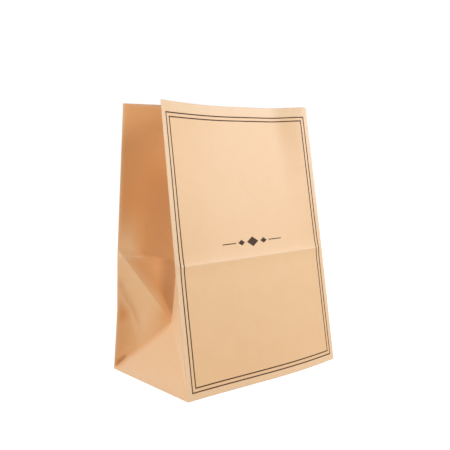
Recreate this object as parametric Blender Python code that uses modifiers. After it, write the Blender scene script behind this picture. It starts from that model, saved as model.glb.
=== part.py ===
"""A brown paper carry-out bag with a block bottom, standing open.

The bag is one folded and glued sheet of kraft paper. Lengths are in metres and +Z is up. The wide
front panel faces -Y, and the origin is on the ground at the middle of the rectangular base.

The sheet is first laid out flat: u runs along the tube, from the front panel's left fold to its right,
over the right side, the back and the left side, and v runs from the base fold up to the rim. The four
vertical folds, the pressed creases across the panels and the 45 degree creases of the side gussets are
edges of the flat sheet, and fold() then carries each of its points to where the standing bag has it.
"""

from math import cos, pi, radians, sin, sqrt

import bmesh
import bpy
from mathutils import Vector

# Sheet
WIDTH = 0.220  # front and back panel
DEPTH = 0.143  # side panel, and so the base
HEIGHT = 0.306  # from the base fold to the cut rim, along the paper
PAPER = 0.00014
SEAM_OVERLAP = 0.020  # glued lengthwise strip at the back
SEAM_EDGE = 0.060  # from the back panel's left fold to the near edge of the strip
FLAP_OVERLAP = 0.030  # of the two base flaps, centred on the base
FLAP_INSET = 0.001  # from the base folds to where the glued layers begin
STEP = 0.0003  # width of the edge of a glued layer

# Pressed creases, along the paper from the base fold
MAIN_CREASE = 0.136

# Inward leans of the four vertical folds and of the panels between them, in degrees
FRONT_LOWER_LEFT = 8.2
FRONT_LOWER_RIGHT = 9.0
FRONT_UPPER_LEFT = 7.0
FRONT_UPPER_MIDDLE = 13.0
FRONT_UPPER_RIGHT = 9.5
BACK_FOOT = 8.0
BACK_LOWER = 3.0
BACK_UPPER_FOLD = 6.5
BACK_UPPER_MIDDLE = 7.5
END_TILT = 26.9  # triangle at the foot of each side
GUSSET_CREASE_LEAN = 6.5  # centre crease of each side

# How the panels belly
LEFT_RAMP = 0.070  # over which the upper front panel sinks from its left fold to its middle
RIGHT_RAMP = 0.055
FOOT_BOW = 0.005  # of the front base fold, outwards
FOOT_BOW_SKEW = 1.6  # above 1 moves the fullest point to the right
FRONT_LEG_PULL = 0.995  # straight distance over paper length across a side's front half, at the rim
BACK_LEG_PULL = 0.978

# Mesh
PANEL_COLUMNS = 18
HALF_GUSSET_COLUMNS = 8
UPPER_ROWS = 14

HALF_DEPTH = DEPTH / 2
PERIMETER = 2 * (WIDTH + DEPTH)
WALL_LAYERS = 1
SEAM_LAYERS = 2
INNER_FLAP_LAYERS = 2
OUTER_FLAP_LAYERS = 3
INSIDE_FLOOR = OUTER_FLAP_LAYERS * PAPER  # height of the base's inner face
TOLERANCE = 1e-6

PART_NAME = "paper_bag"
KRAFT = (0.80, 0.53, 0.32, 1.0)


def clear_scene():
    """Remove every object that the file starts with."""
    for obj in list(bpy.data.objects):
        bpy.data.objects.remove(obj, do_unlink=True)


def smoothstep(x):
    """Ease from 0 to 1 as x goes from 0 to 1."""
    x = min(max(x, 0.0), 1.0)
    return x * x * (3 - 2 * x)


def profile(v, stretches):
    """(inward, up) at length v along a wall whose stretches are (end, lean in degrees)."""
    inward = up = start = 0.0
    for end, lean in stretches:
        run = min(v, end) - start
        if run <= 0:
            break
        inward += run * sin(radians(lean))
        up += run * cos(radians(lean))
        start = end
    return inward, up


def across(t, left, middle, right):
    """A lean that goes from its left to its middle and its right value over the two ramps."""
    from_left = smoothstep(t * WIDTH / LEFT_RAMP)
    from_right = smoothstep((1 - t) * WIDTH / RIGHT_RAMP)
    return middle + (left - middle) * (1 - from_left) + (right - middle) * (1 - from_right)


def front_point(t, v):
    """The front panel, t from its left fold to its right one."""
    lower = FRONT_LOWER_LEFT + (FRONT_LOWER_RIGHT - FRONT_LOWER_LEFT) * t
    upper = across(t, FRONT_UPPER_LEFT, FRONT_UPPER_MIDDLE, FRONT_UPPER_RIGHT)
    inward, up = profile(v, [(MAIN_CREASE, lower), (HEIGHT, upper)])
    bow = FOOT_BOW * sin(pi * t**FOOT_BOW_SKEW) * max(0.0, 1 - v / MAIN_CREASE)
    return Vector(((t - 0.5) * WIDTH, inward - bow - HALF_DEPTH, up))


def back_point(t, v):
    """The back panel, t from its left fold to its right one."""
    upper = across(t, BACK_UPPER_FOLD, BACK_UPPER_MIDDLE, BACK_UPPER_FOLD)
    inward, up = profile(
        v, [(HALF_DEPTH, BACK_FOOT), (MAIN_CREASE, BACK_LOWER), (HEIGHT, upper)]
    )
    return Vector(((t - 0.5) * WIDTH, HALF_DEPTH - inward, up))


def end_point(side, q, v):
    """The triangle at the foot of a side, q from the middle of the base towards the back."""
    tilt = radians(END_TILT)
    return Vector((side * (WIDTH / 2 - v * sin(tilt)), q, v * cos(tilt)))


def plan_meeting(first, second, first_reach, second_reach, side):
    """Where arms of two reaches meet in plan, on the inner side of the two points."""
    apart = (second - first).xy
    gap = apart.length
    along = (gap * gap + first_reach**2 - second_reach**2) / (2 * gap)
    off = sqrt(max(first_reach**2 - along**2, 0.0))
    inwards = Vector((-side, 0.0))
    return first.xy + apart * (along / gap) + inwards * off


def centre_point(side, v):
    """The centre crease of a side, at and above the top of its foot triangle."""
    apex = end_point(side, 0.0, HALF_DEPTH)
    rise = (v - HALF_DEPTH) * cos(radians(GUSSET_CREASE_LEAN))
    height = apex.z + rise
    blend = (v - HALF_DEPTH) / (HEIGHT - HALF_DEPTH)
    t = 0.5 + side / 2
    reaches = []
    for panel_point, pull in ((front_point, FRONT_LEG_PULL), (back_point, BACK_LEG_PULL)):
        low = (apex - panel_point(t, HALF_DEPTH)).length
        reach = low + (pull * HALF_DEPTH - low) * blend
        drop = panel_point(t, v).z - height
        reaches.append(sqrt(max(reach**2 - drop**2, 0.0)))
    place = plan_meeting(front_point(t, v), back_point(t, v), *reaches, side)
    return Vector((place.x, place.y, height))


def leg_point(start, end, share, paper, towards):
    """A share of the way along a strip of paper that is longer than the gap it spans, and so sags
    towards the front (-1) or the back (1). A shallow arc whose sag is x times its chord is
    8/3 x**2 longer than the chord."""
    gap = (end - start).length
    if gap < TOLERANCE or share <= 0:
        return start.copy()
    sag_share = sqrt(3 / 8 * max(paper / gap - 1, 0.0))
    along = (end - start).xy.normalized()
    normal = Vector((-along.y, along.x, 0.0))
    if normal.y * towards < 0:
        normal.negate()
    lift = Vector((0.0, 0.0, start.z - end.z))
    bulge = (normal * gap + lift) * sag_share
    return start.lerp(end, share) + bulge * (4 * share * (1 - share))


def front_leg(side, q, v):
    """The front half of a side, q from its fold."""
    start = front_point(0.5 + side / 2, v)
    if v < HALF_DEPTH:
        return leg_point(start, end_point(side, v - HALF_DEPTH, v), q / v, v, -1)
    return leg_point(start, centre_point(side, v), q / HALF_DEPTH, HALF_DEPTH, -1)


def back_leg(side, q, v):
    """The back half of a side, q from its fold. A second 45 degree crease runs up from the apex to
    the back fold, because the flattened bag has its base folded up behind it."""
    t = 0.5 + side / 2
    start = back_point(t, v)
    if v < HALF_DEPTH:
        return leg_point(start, end_point(side, HALF_DEPTH - v, v), q / v, v, 1)
    if v >= DEPTH:
        return leg_point(start, centre_point(side, v), q / HALF_DEPTH, HALF_DEPTH, 1)
    apex = end_point(side, 0.0, HALF_DEPTH)
    crease = apex.lerp(back_point(t, DEPTH), v / HALF_DEPTH - 1)
    to_crease = DEPTH - v
    if q <= to_crease:
        return start.lerp(crease, q / to_crease)
    rest = HALF_DEPTH - to_crease
    return leg_point(crease, centre_point(side, v), (q - to_crease) / rest, rest, 1)


def side_point(side, s, v):
    """A side panel, s from its front fold to its back fold."""
    if v <= min(s, DEPTH - s) + TOLERANCE:
        return end_point(side, s - HALF_DEPTH, v)
    if s <= HALF_DEPTH:
        return front_leg(side, s, v)
    return back_leg(side, DEPTH - s, v)


def fold(u, v):
    """Where the standing bag has the point (u, v) of the flat sheet's inner face."""
    if u <= WIDTH:
        place = front_point(u / WIDTH, v)
    elif u <= WIDTH + DEPTH:
        place = side_point(1, u - WIDTH, v)
    elif u <= 2 * WIDTH + DEPTH:
        place = back_point(1 - (u - WIDTH - DEPTH) / WIDTH, v)
    else:
        place = side_point(-1, PERIMETER - u, v)
    place.z += INSIDE_FLOOR
    return place


def add_patch(sheet, low, high, columns, rows):
    """Add one evenly divided rectangle of the flat sheet."""
    made = bmesh.ops.create_grid(sheet, x_segments=columns, y_segments=rows, size=0.5)
    for vert in made["verts"]:
        vert.co.x = low[0] + (vert.co.x + 0.5) * (high[0] - low[0])
        vert.co.y = low[1] + (vert.co.y + 0.5) * (high[1] - low[1])


def crease_sheet(sheet, point, normal, inside=None):
    """Cut an edge line into the flat sheet, only through the faces whose centre is inside."""
    faces = [f for f in sheet.faces if inside is None or inside(f.calc_center_median())]
    edges = {edge for face in faces for edge in face.edges}
    verts = {vert for face in faces for vert in face.verts}
    bmesh.ops.bisect_plane(
        sheet,
        geom=faces + list(edges) + list(verts),
        plane_co=(*point, 0.0),
        plane_no=(*normal, 0.0),
        dist=TOLERANCE,
    )


def flat_sheet():
    """The flat sheet, with an edge along each fold and crease."""
    sheet = bmesh.new()
    strips = []
    start = 0.0
    for panel, columns in ((WIDTH, PANEL_COLUMNS), (DEPTH, 2 * HALF_GUSSET_COLUMNS)) * 2:
        strips.append((start, start + panel, columns))
        start += panel
    bands = [
        (0.0, HALF_DEPTH, HALF_GUSSET_COLUMNS),
        (HALF_DEPTH, DEPTH, HALF_GUSSET_COLUMNS),
        (DEPTH, HEIGHT, UPPER_ROWS),
    ]
    for left, right, columns in strips:
        for low, high, rows in bands:
            add_patch(sheet, (left, low), (right, high), columns, rows)
    bmesh.ops.remove_doubles(sheet, verts=sheet.verts[:], dist=TOLERANCE)
    crease_sheet(sheet, (0.0, MAIN_CREASE), (0.0, 1.0))

    seam_start = 2 * WIDTH + DEPTH - SEAM_EDGE
    for offset in (-SEAM_OVERLAP - STEP, -SEAM_OVERLAP, 0.0, STEP):
        crease_sheet(sheet, (seam_start + offset, 0.0), (1.0, 0.0))

    for fold_line in (WIDTH, 2 * WIDTH + DEPTH):
        foot = (fold_line, fold_line + DEPTH)
        for corner, slope in ((foot[0], -1.0), (foot[1], 1.0)):
            crease_sheet(
                sheet,
                (corner, 0.0),
                (slope, 1.0),
                lambda at, foot=foot: foot[0] < at.x < foot[1] and at.y < HALF_DEPTH,
            )
    for back_fold, way in ((WIDTH + DEPTH, -1.0), (2 * WIDTH + DEPTH, 1.0)):
        middle = back_fold + way * HALF_DEPTH
        crease_sheet(
            sheet,
            (middle, HALF_DEPTH),
            (way, 1.0),
            lambda at, a=back_fold, b=middle: min(a, b) < at.x < max(a, b)
            and HALF_DEPTH < at.y < DEPTH,
        )
    return sheet


def seam_layers(u):
    """Glued layers of the wall at u."""
    far_edge = 2 * WIDTH + DEPTH - SEAM_EDGE
    inside = far_edge - SEAM_OVERLAP - TOLERANCE <= u <= far_edge + TOLERANCE
    return SEAM_LAYERS if inside else WALL_LAYERS


def in_flap(x, past_middle):
    """Whether a base point is on the flap folded in from one long edge: its ends are cut at 45
    degrees, and it reaches past the middle of the base."""
    if past_middle > FLAP_OVERLAP / 2 + TOLERANCE:
        return False
    from_fold = past_middle + HALF_DEPTH
    return abs(x) <= WIDTH / 2 - from_fold + TOLERANCE


def base_layers(at):
    """Glued layers of the base: the flap from the front lies outermost."""
    if in_flap(at.x, at.y):
        return OUTER_FLAP_LAYERS
    if in_flap(at.x, -at.y):
        return INNER_FLAP_LAYERS
    return WALL_LAYERS


def add_base(bag, layers):
    """Close the foot of the tube with the base and cut the outlines of its flaps into it."""
    foot = [
        edge
        for edge in bag.edges
        if edge.is_boundary and all(abs(v.co.z - INSIDE_FLOOR) < TOLERANCE for v in edge.verts)
    ]
    base = bmesh.ops.contextual_create(bag, geom=foot)["faces"]
    bmesh.ops.inset_region(bag, faces=base, thickness=FLAP_INSET, use_even_offset=True)
    lines = []
    for flap in (1, -1):
        edge = FLAP_OVERLAP / 2
        lines.append(((0.0, flap * edge), (0.0, flap)))
        for side in (-1, 1):
            lines.append(((side * WIDTH / 2, -flap * HALF_DEPTH), (side, flap)))
    region = set(base)
    for point, direction in lines:
        normal = Vector(direction).normalized()
        for offset in (0.0, STEP):
            at = Vector(point) + normal * offset
            edges = {edge for face in region for edge in face.edges}
            verts = {vert for face in region for vert in face.verts}
            cut = bmesh.ops.bisect_plane(
                bag,
                geom=list(region) + list(edges) + list(verts),
                plane_co=(at.x, at.y, INSIDE_FLOOR),
                plane_no=(normal.x, normal.y, 0.0),
                dist=TOLERANCE,
            )
            region = {g for g in cut["geom"] if isinstance(g, bmesh.types.BMFace)}
    for vert in {vert for face in region for vert in face.verts}:
        vert[layers] = base_layers(vert.co)


def build_bag(material):
    """Fold the flat sheet, close its base and give it the paper's thickness."""
    bag = flat_sheet()
    layers = bag.verts.layers.int.new("layers")
    for vert in bag.verts:
        vert[layers] = seam_layers(vert.co.x)
        vert.co = fold(vert.co.x, vert.co.y)
    bmesh.ops.remove_doubles(bag, verts=bag.verts[:], dist=TOLERANCE)
    add_base(bag, layers)
    bmesh.ops.recalc_face_normals(bag, faces=bag.faces[:])

    mesh = bpy.data.meshes.new(PART_NAME)
    bag.to_mesh(mesh)
    counts = [vert[layers] for vert in bag.verts]
    bag.free()
    obj = bpy.data.objects.new(PART_NAME, mesh)
    mesh.materials.append(material)
    glued = obj.vertex_groups.new(name="glued_layers")
    for index, count in enumerate(counts):
        glued.add([index], count / OUTER_FLAP_LAYERS, "REPLACE")

    sheet = obj.modifiers.new("Paper", "SOLIDIFY")
    sheet.thickness = OUTER_FLAP_LAYERS * PAPER
    sheet.offset = 1
    sheet.vertex_group = glued.name
    sheet.use_quality_normals = True
    return obj


def make_kraft():
    """Unbleached kraft paper."""
    material = bpy.data.materials.new("kraft_paper")
    material.use_nodes = True
    shader = material.node_tree.nodes["Principled BSDF"]
    shader.inputs["Base Color"].default_value = KRAFT
    shader.inputs["Roughness"].default_value = 0.85
    shader.inputs["Metallic"].default_value = 0.0
    return material


def main():
    clear_scene()
    collection = bpy.data.collections.new(PART_NAME)
    bpy.context.scene.collection.children.link(collection)
    collection.objects.link(build_bag(make_kraft()))


main()
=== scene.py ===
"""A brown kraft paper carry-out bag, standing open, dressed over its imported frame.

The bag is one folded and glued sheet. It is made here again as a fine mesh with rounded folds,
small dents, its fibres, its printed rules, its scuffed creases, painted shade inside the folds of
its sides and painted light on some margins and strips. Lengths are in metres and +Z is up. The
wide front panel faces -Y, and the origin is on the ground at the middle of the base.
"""

import logging
from dataclasses import dataclass, field
from enum import Enum
from math import cos, exp, pi, radians, sin, sqrt

import bmesh
import bpy
from mathutils import Matrix, Vector, noise


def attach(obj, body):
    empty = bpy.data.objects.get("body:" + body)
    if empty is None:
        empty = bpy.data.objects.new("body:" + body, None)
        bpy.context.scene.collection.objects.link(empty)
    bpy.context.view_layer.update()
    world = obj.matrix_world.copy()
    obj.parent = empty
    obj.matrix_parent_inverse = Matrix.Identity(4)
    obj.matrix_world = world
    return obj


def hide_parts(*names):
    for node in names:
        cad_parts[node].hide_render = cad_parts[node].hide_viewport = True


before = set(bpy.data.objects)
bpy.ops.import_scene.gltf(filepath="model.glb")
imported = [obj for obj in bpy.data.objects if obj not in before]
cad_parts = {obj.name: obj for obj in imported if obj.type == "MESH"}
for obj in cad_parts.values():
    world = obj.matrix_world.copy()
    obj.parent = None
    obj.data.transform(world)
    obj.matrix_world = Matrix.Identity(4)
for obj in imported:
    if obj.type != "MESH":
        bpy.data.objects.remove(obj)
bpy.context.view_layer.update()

TOLERANCE = 1e-6

log = logging.getLogger("paper_bag")

Socket = bpy.types.NodeSocket
Value = float | tuple[float, ...] | Socket
Colour = tuple[float, float, float]
Place = tuple[float, float, float]
Grain = tuple[float, float, float]
Point = tuple[float, float]
Span = tuple[float, float]
Ramp = tuple[float, float, float, float]


class PaperFace(Enum):
    """The faces of the sheet, as material slots of the bag."""

    OUTSIDE = 0
    INSIDE = 1
    CUT_EDGE = 2


@dataclass(frozen=True)
class SheetSize:
    """Sizes of the flat sheet. u runs round the tube from the front's left fold, v runs up."""

    width: float = 0.220
    depth: float = 0.143
    height: float = 0.306
    paper: float = 0.00014
    main_crease: float = 0.13585
    seam_overlap: float = 0.020
    seam_edge: float = 0.060
    flap_overlap: float = 0.030
    flap_inset: float = 0.001
    layer_step: float = 0.0003
    wall_layers: int = 1
    seam_layers: int = 2
    inner_flap_layers: int = 2
    outer_flap_layers: int = 3

    @property
    def half_depth(self) -> float:
        """From a vertical fold to the centre crease of a side."""
        return self.depth / 2

    @property
    def perimeter(self) -> float:
        """Once round the tube."""
        return 2 * (self.width + self.depth)

    @property
    def back_right_fold(self) -> float:
        """The u of the fold between the right side and the back."""
        return self.width + self.depth

    @property
    def back_left_fold(self) -> float:
        """The u of the fold between the back and the left side."""
        return 2 * self.width + self.depth

    @property
    def seam_far_edge(self) -> float:
        """The u of the edge of the glued strip that shows at the back."""
        return self.back_left_fold - self.seam_edge

    @property
    def inside_floor(self) -> float:
        """Height of the inner face of the base."""
        return self.outer_flap_layers * self.paper

    def on_back_half(self, u: float) -> float | None:
        """Measure from the back fold, on the back half of a side.

        Args:
            u: Length round the tube.

        Returns:
            How far u lies from that fold, or None elsewhere.
        """
        for q in (u - self.back_left_fold, self.back_right_fold - u):
            if 0 < q < self.half_depth:
                return q
        return None


def new_object(name: str, data: bpy.types.ID) -> bpy.types.Object:
    """Make an object and put it in the scene.

    Args:
        name: Its name.
        data: Its mesh, lamp or camera.

    Returns:
        The object.
    """
    made = bpy.data.objects.new(name, data)
    bpy.context.scene.collection.objects.link(made)
    return made


def smoothstep(x: float) -> float:
    """Ease from 0 to 1 as x goes from 0 to 1."""
    x = min(max(x, 0.0), 1.0)
    return x * x * (3 - 2 * x)


def eased(x: float, span: Span) -> float:
    """Ease from 0 where x is the span's first value to 1 where it is the second."""
    return smoothstep((x - span[0]) / (span[1] - span[0]))


def bell(at: Point, middle: Point, size: Point) -> float:
    """A soft spot: 1 at its middle, and falling away by its size either way."""
    across, up = ((a - m) / s for a, m, s in zip(at, middle, size))
    return exp(-(across**2) - up**2)


@dataclass(frozen=True)
class FoldedShape:
    """Where the standing bag has each point of the flat sheet. Leans are inward, in degrees."""

    sheet: SheetSize
    front_lower_left: float = 8.2
    front_lower_right: float = 9.0
    front_upper_left: float = 7.0
    front_upper_middle: float = 13.0
    front_upper_right: float = 9.5
    back_foot: float = 8.0
    back_lower: float = 3.0
    back_upper_fold: float = 6.5
    back_upper_middle: float = 7.5
    end_tilt: float = 26.9
    centre_crease_lean: float = 6.5
    left_ramp: float = 0.107
    right_ramp: float = 0.055
    foot_bow: float = 0.005
    foot_bow_skew: float = 1.6
    front_leg_pull: float = 0.995
    back_leg_pull: float = 0.978
    back_settle: float = 0.0014
    fold_radius: float = 0.00035

    def profile(self, v: float, stretches: list[Point]) -> Point:
        """Follow a wall up the paper.

        Args:
            v: Length along the paper from the base fold.
            stretches: The end and the inward lean of each straight stretch. The last has no end.

        Returns:
            How far inward and how far up the point lies.
        """
        inward = up = start = 0.0
        for index, (end, lean) in enumerate(stretches):
            last = index == len(stretches) - 1
            run = (v if last else min(v, end)) - start
            if run <= 0:
                break
            inward += run * sin(radians(lean))
            up += run * cos(radians(lean))
            start = end
        return inward, up

    def across(self, t: float, left: float, middle: float, right: float) -> float:
        """Blend a lean across a panel.

        Args:
            t: Share of the way from the left fold to the right one.
            left: The lean at the left fold.
            middle: The lean between the two ramps.
            right: The lean at the right fold.

        Returns:
            The lean at t.
        """
        from_left = sin(pi / 2 * min(t * self.sheet.width / self.left_ramp, 1.0))
        from_right = smoothstep((1 - t) * self.sheet.width / self.right_ramp)
        return middle + (left - middle) * (1 - from_left) + (right - middle) * (1 - from_right)

    def front_point(self, t: float, v: float) -> Vector:
        """Place a point of the front panel.

        Args:
            t: Share of the way from the left fold to the right one.
            v: Length up the paper.

        Returns:
            Where it stands.
        """
        sheet = self.sheet
        lower = self.front_lower_left + (self.front_lower_right - self.front_lower_left) * t
        upper = self.across(
            t, self.front_upper_left, self.front_upper_middle, self.front_upper_right
        )
        inward, up = self.profile(v, [(sheet.main_crease, lower), (sheet.height, upper)])
        swell = sin(pi * min(max(t, 0.0), 1.0) ** self.foot_bow_skew)
        bow = self.foot_bow * swell * max(0.0, 1 - v / sheet.main_crease)
        return Vector(((t - 0.5) * sheet.width, inward - bow - sheet.half_depth, up))

    def back_point(self, t: float, v: float) -> Vector:
        """Place a point of the back panel.

        Args:
            t: Share of the way from the left fold to the right one.
            v: Length up the paper.

        Returns:
            Where it stands.
        """
        sheet = self.sheet
        upper = self.across(
            t, self.back_upper_fold, self.back_upper_middle, self.back_upper_fold
        )
        stretches = [
            (sheet.half_depth, self.back_foot),
            (sheet.main_crease, self.back_lower),
            (sheet.height, upper),
        ]
        inward, up = self.profile(v, stretches)
        up -= self.back_settle * (v / sheet.height) ** 2
        return Vector(((t - 0.5) * sheet.width, sheet.half_depth - inward, up))

    def end_point(self, side: int, q: float, v: float) -> Vector:
        """The triangle at the foot of a side, q from the middle of the base towards the back."""
        tilt = radians(self.end_tilt)
        return Vector((side * (self.sheet.width / 2 - v * sin(tilt)), q, v * cos(tilt)))

    def plan_meeting(
        self, first: Vector, second: Vector, reaches: list[float], side: int
    ) -> Vector:
        """Find where two arms meet in plan.

        Args:
            first: Where the first arm starts.
            second: Where the second arm starts.
            reaches: The level lengths of the two arms.
            side: -1 for the left side of the bag and 1 for the right.

        Returns:
            The meeting point that lies towards the middle of the bag.
        """
        apart = (second - first).xy
        gap = apart.length
        along = (gap * gap + reaches[0] ** 2 - reaches[1] ** 2) / (2 * gap)
        off = sqrt(max(reaches[0] ** 2 - along**2, 0.0))
        return first.xy + apart * (along / gap) + Vector((-side, 0.0)) * off

    def centre_point(self, side: int, v: float) -> Vector:
        """Place a point of a side's centre crease, at and above the top of its foot triangle.

        Args:
            side: -1 for the left side of the bag and 1 for the right.
            v: Length up the paper.

        Returns:
            Where it stands.
        """
        sheet = self.sheet
        half = sheet.half_depth
        apex = self.end_point(side, 0.0, half)
        blend = (v - half) / (sheet.height - half)
        height = apex.z + (v - half) * cos(radians(self.centre_crease_lean))
        height -= self.back_settle * blend**2
        t = 0.5 + side / 2
        reaches = []
        legs = ((self.front_point, self.front_leg_pull), (self.back_point, self.back_leg_pull))
        for panel_point, pull in legs:
            low = (apex - panel_point(t, half)).length
            reach = low + (pull * half - low) * blend
            drop = panel_point(t, v).z - height
            reaches.append(sqrt(max(reach**2 - drop**2, 0.0)))
        place = self.plan_meeting(
            self.front_point(t, v), self.back_point(t, v), reaches, side
        )
        return Vector((place.x, place.y, height))

    def leg_point(
        self, start: Vector, end: Vector, share: float, paper: float, towards: int
    ) -> Vector:
        """Follow a strip of paper that is longer than the gap it spans, and so sags.

        Args:
            start: One end of the strip.
            end: The other end.
            share: Share of the way from start to end.
            paper: Length of the strip.
            towards: -1 where it sags towards the front and 1 towards the back.

        Returns:
            The point on the sagging strip.
        """
        gap = (end - start).length
        if gap < TOLERANCE or share <= 0:
            return start.copy()
        sag_share = sqrt(3 / 8 * max(paper / gap - 1, 0.0))
        along = (end - start).xy.normalized()
        normal = Vector((-along.y, along.x, 0.0))
        if normal.y * towards < 0:
            normal.negate()
        lift = Vector((0.0, 0.0, start.z - end.z))
        bulge = (normal * gap + lift) * sag_share
        return start.lerp(end, share) + bulge * (4 * share * (1 - share))

    def front_leg(self, side: int, q: float, v: float) -> Vector:
        """Place a point of the front half of a side.

        Args:
            side: -1 for the left side of the bag and 1 for the right.
            q: Distance from the front fold.
            v: Length up the paper.

        Returns:
            Where it stands.
        """
        half = self.sheet.half_depth
        start = self.front_point(0.5 + side / 2, v)
        if v < half:
            end = self.end_point(side, v - half, v)
            return self.leg_point(start, end, q / v, v, -1)
        return self.leg_point(start, self.centre_point(side, v), q / half, half, -1)

    def back_leg(self, side: int, q: float, v: float) -> Vector:
        """Place a point of the back half of a side.

        A second 45 degree crease runs up from the top of the foot triangle to the back fold,
        where the base folds up behind the flattened bag.

        Args:
            side: -1 for the left side of the bag and 1 for the right.
            q: Distance from the back fold.
            v: Length up the paper.

        Returns:
            Where it stands.
        """
        sheet = self.sheet
        half = sheet.half_depth
        t = 0.5 + side / 2
        start = self.back_point(t, v)
        if v < half:
            return self.leg_point(start, self.end_point(side, half - v, v), q / v, v, 1)
        centre = self.centre_point(side, v)
        if v >= sheet.depth:
            return self.leg_point(start, centre, q / half, half, 1)
        apex = self.end_point(side, 0.0, half)
        crease = apex.lerp(self.back_point(t, sheet.depth), v / half - 1)
        to_crease = sheet.depth - v
        if q <= to_crease:
            low = self.back_point(t, half)
            share = q / to_crease
            sag = self.leg_point(low, apex, share, half, 1) - low.lerp(apex, share)
            return start.lerp(crease, share) + sag * (to_crease / half) ** 2
        rest = half - to_crease
        return self.leg_point(crease, centre, (q - to_crease) / rest, rest, 1)

    def side_point(self, side: int, s: float, v: float) -> Vector:
        """Place a point of a side panel.

        Args:
            side: -1 for the left side of the bag and 1 for the right.
            s: Distance from the front fold.
            v: Length up the paper.

        Returns:
            Where it stands.
        """
        sheet = self.sheet
        if v <= min(s, sheet.depth - s) + TOLERANCE:
            return self.end_point(side, s - sheet.half_depth, v)
        if s <= sheet.half_depth:
            return self.front_leg(side, s, v)
        return self.back_leg(side, sheet.depth - s, v)

    def sharp_place(self, u: float, v: float) -> Vector:
        """Place a point of the bag with knife-sharp folds.

        Args:
            u: Length round the tube.
            v: Length up the paper.

        Returns:
            Where it stands.
        """
        sheet = self.sheet
        u %= sheet.perimeter
        if u <= sheet.width:
            place = self.front_point(u / sheet.width, v)
        elif u <= sheet.back_right_fold:
            place = self.side_point(1, u - sheet.width, v)
        elif u <= sheet.back_left_fold:
            place = self.back_point(1 - (u - sheet.width - sheet.depth) / sheet.width, v)
        else:
            place = self.side_point(-1, sheet.perimeter - u, v)
        place.z += sheet.inside_floor
        return place

    def place(self, u: float, v: float) -> Vector:
        """Where the bag with its rounded folds has the point (u, v) of the sheet.

        Args:
            u: Length round the tube.
            v: Length up the paper.

        Returns:
            The mean of the sharp bag's places a fold radius away on every side.
        """
        r = self.fold_radius
        around = [(-r, 0.0), (r, 0.0)]
        if v > 2 * r:
            around += [(0.0, -r), (0.0, r)]
        total = Vector((0.0, 0.0, 0.0))
        for du, dv in around:
            total += self.sharp_place(u + du, v + dv)
        return total / len(around)


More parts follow.
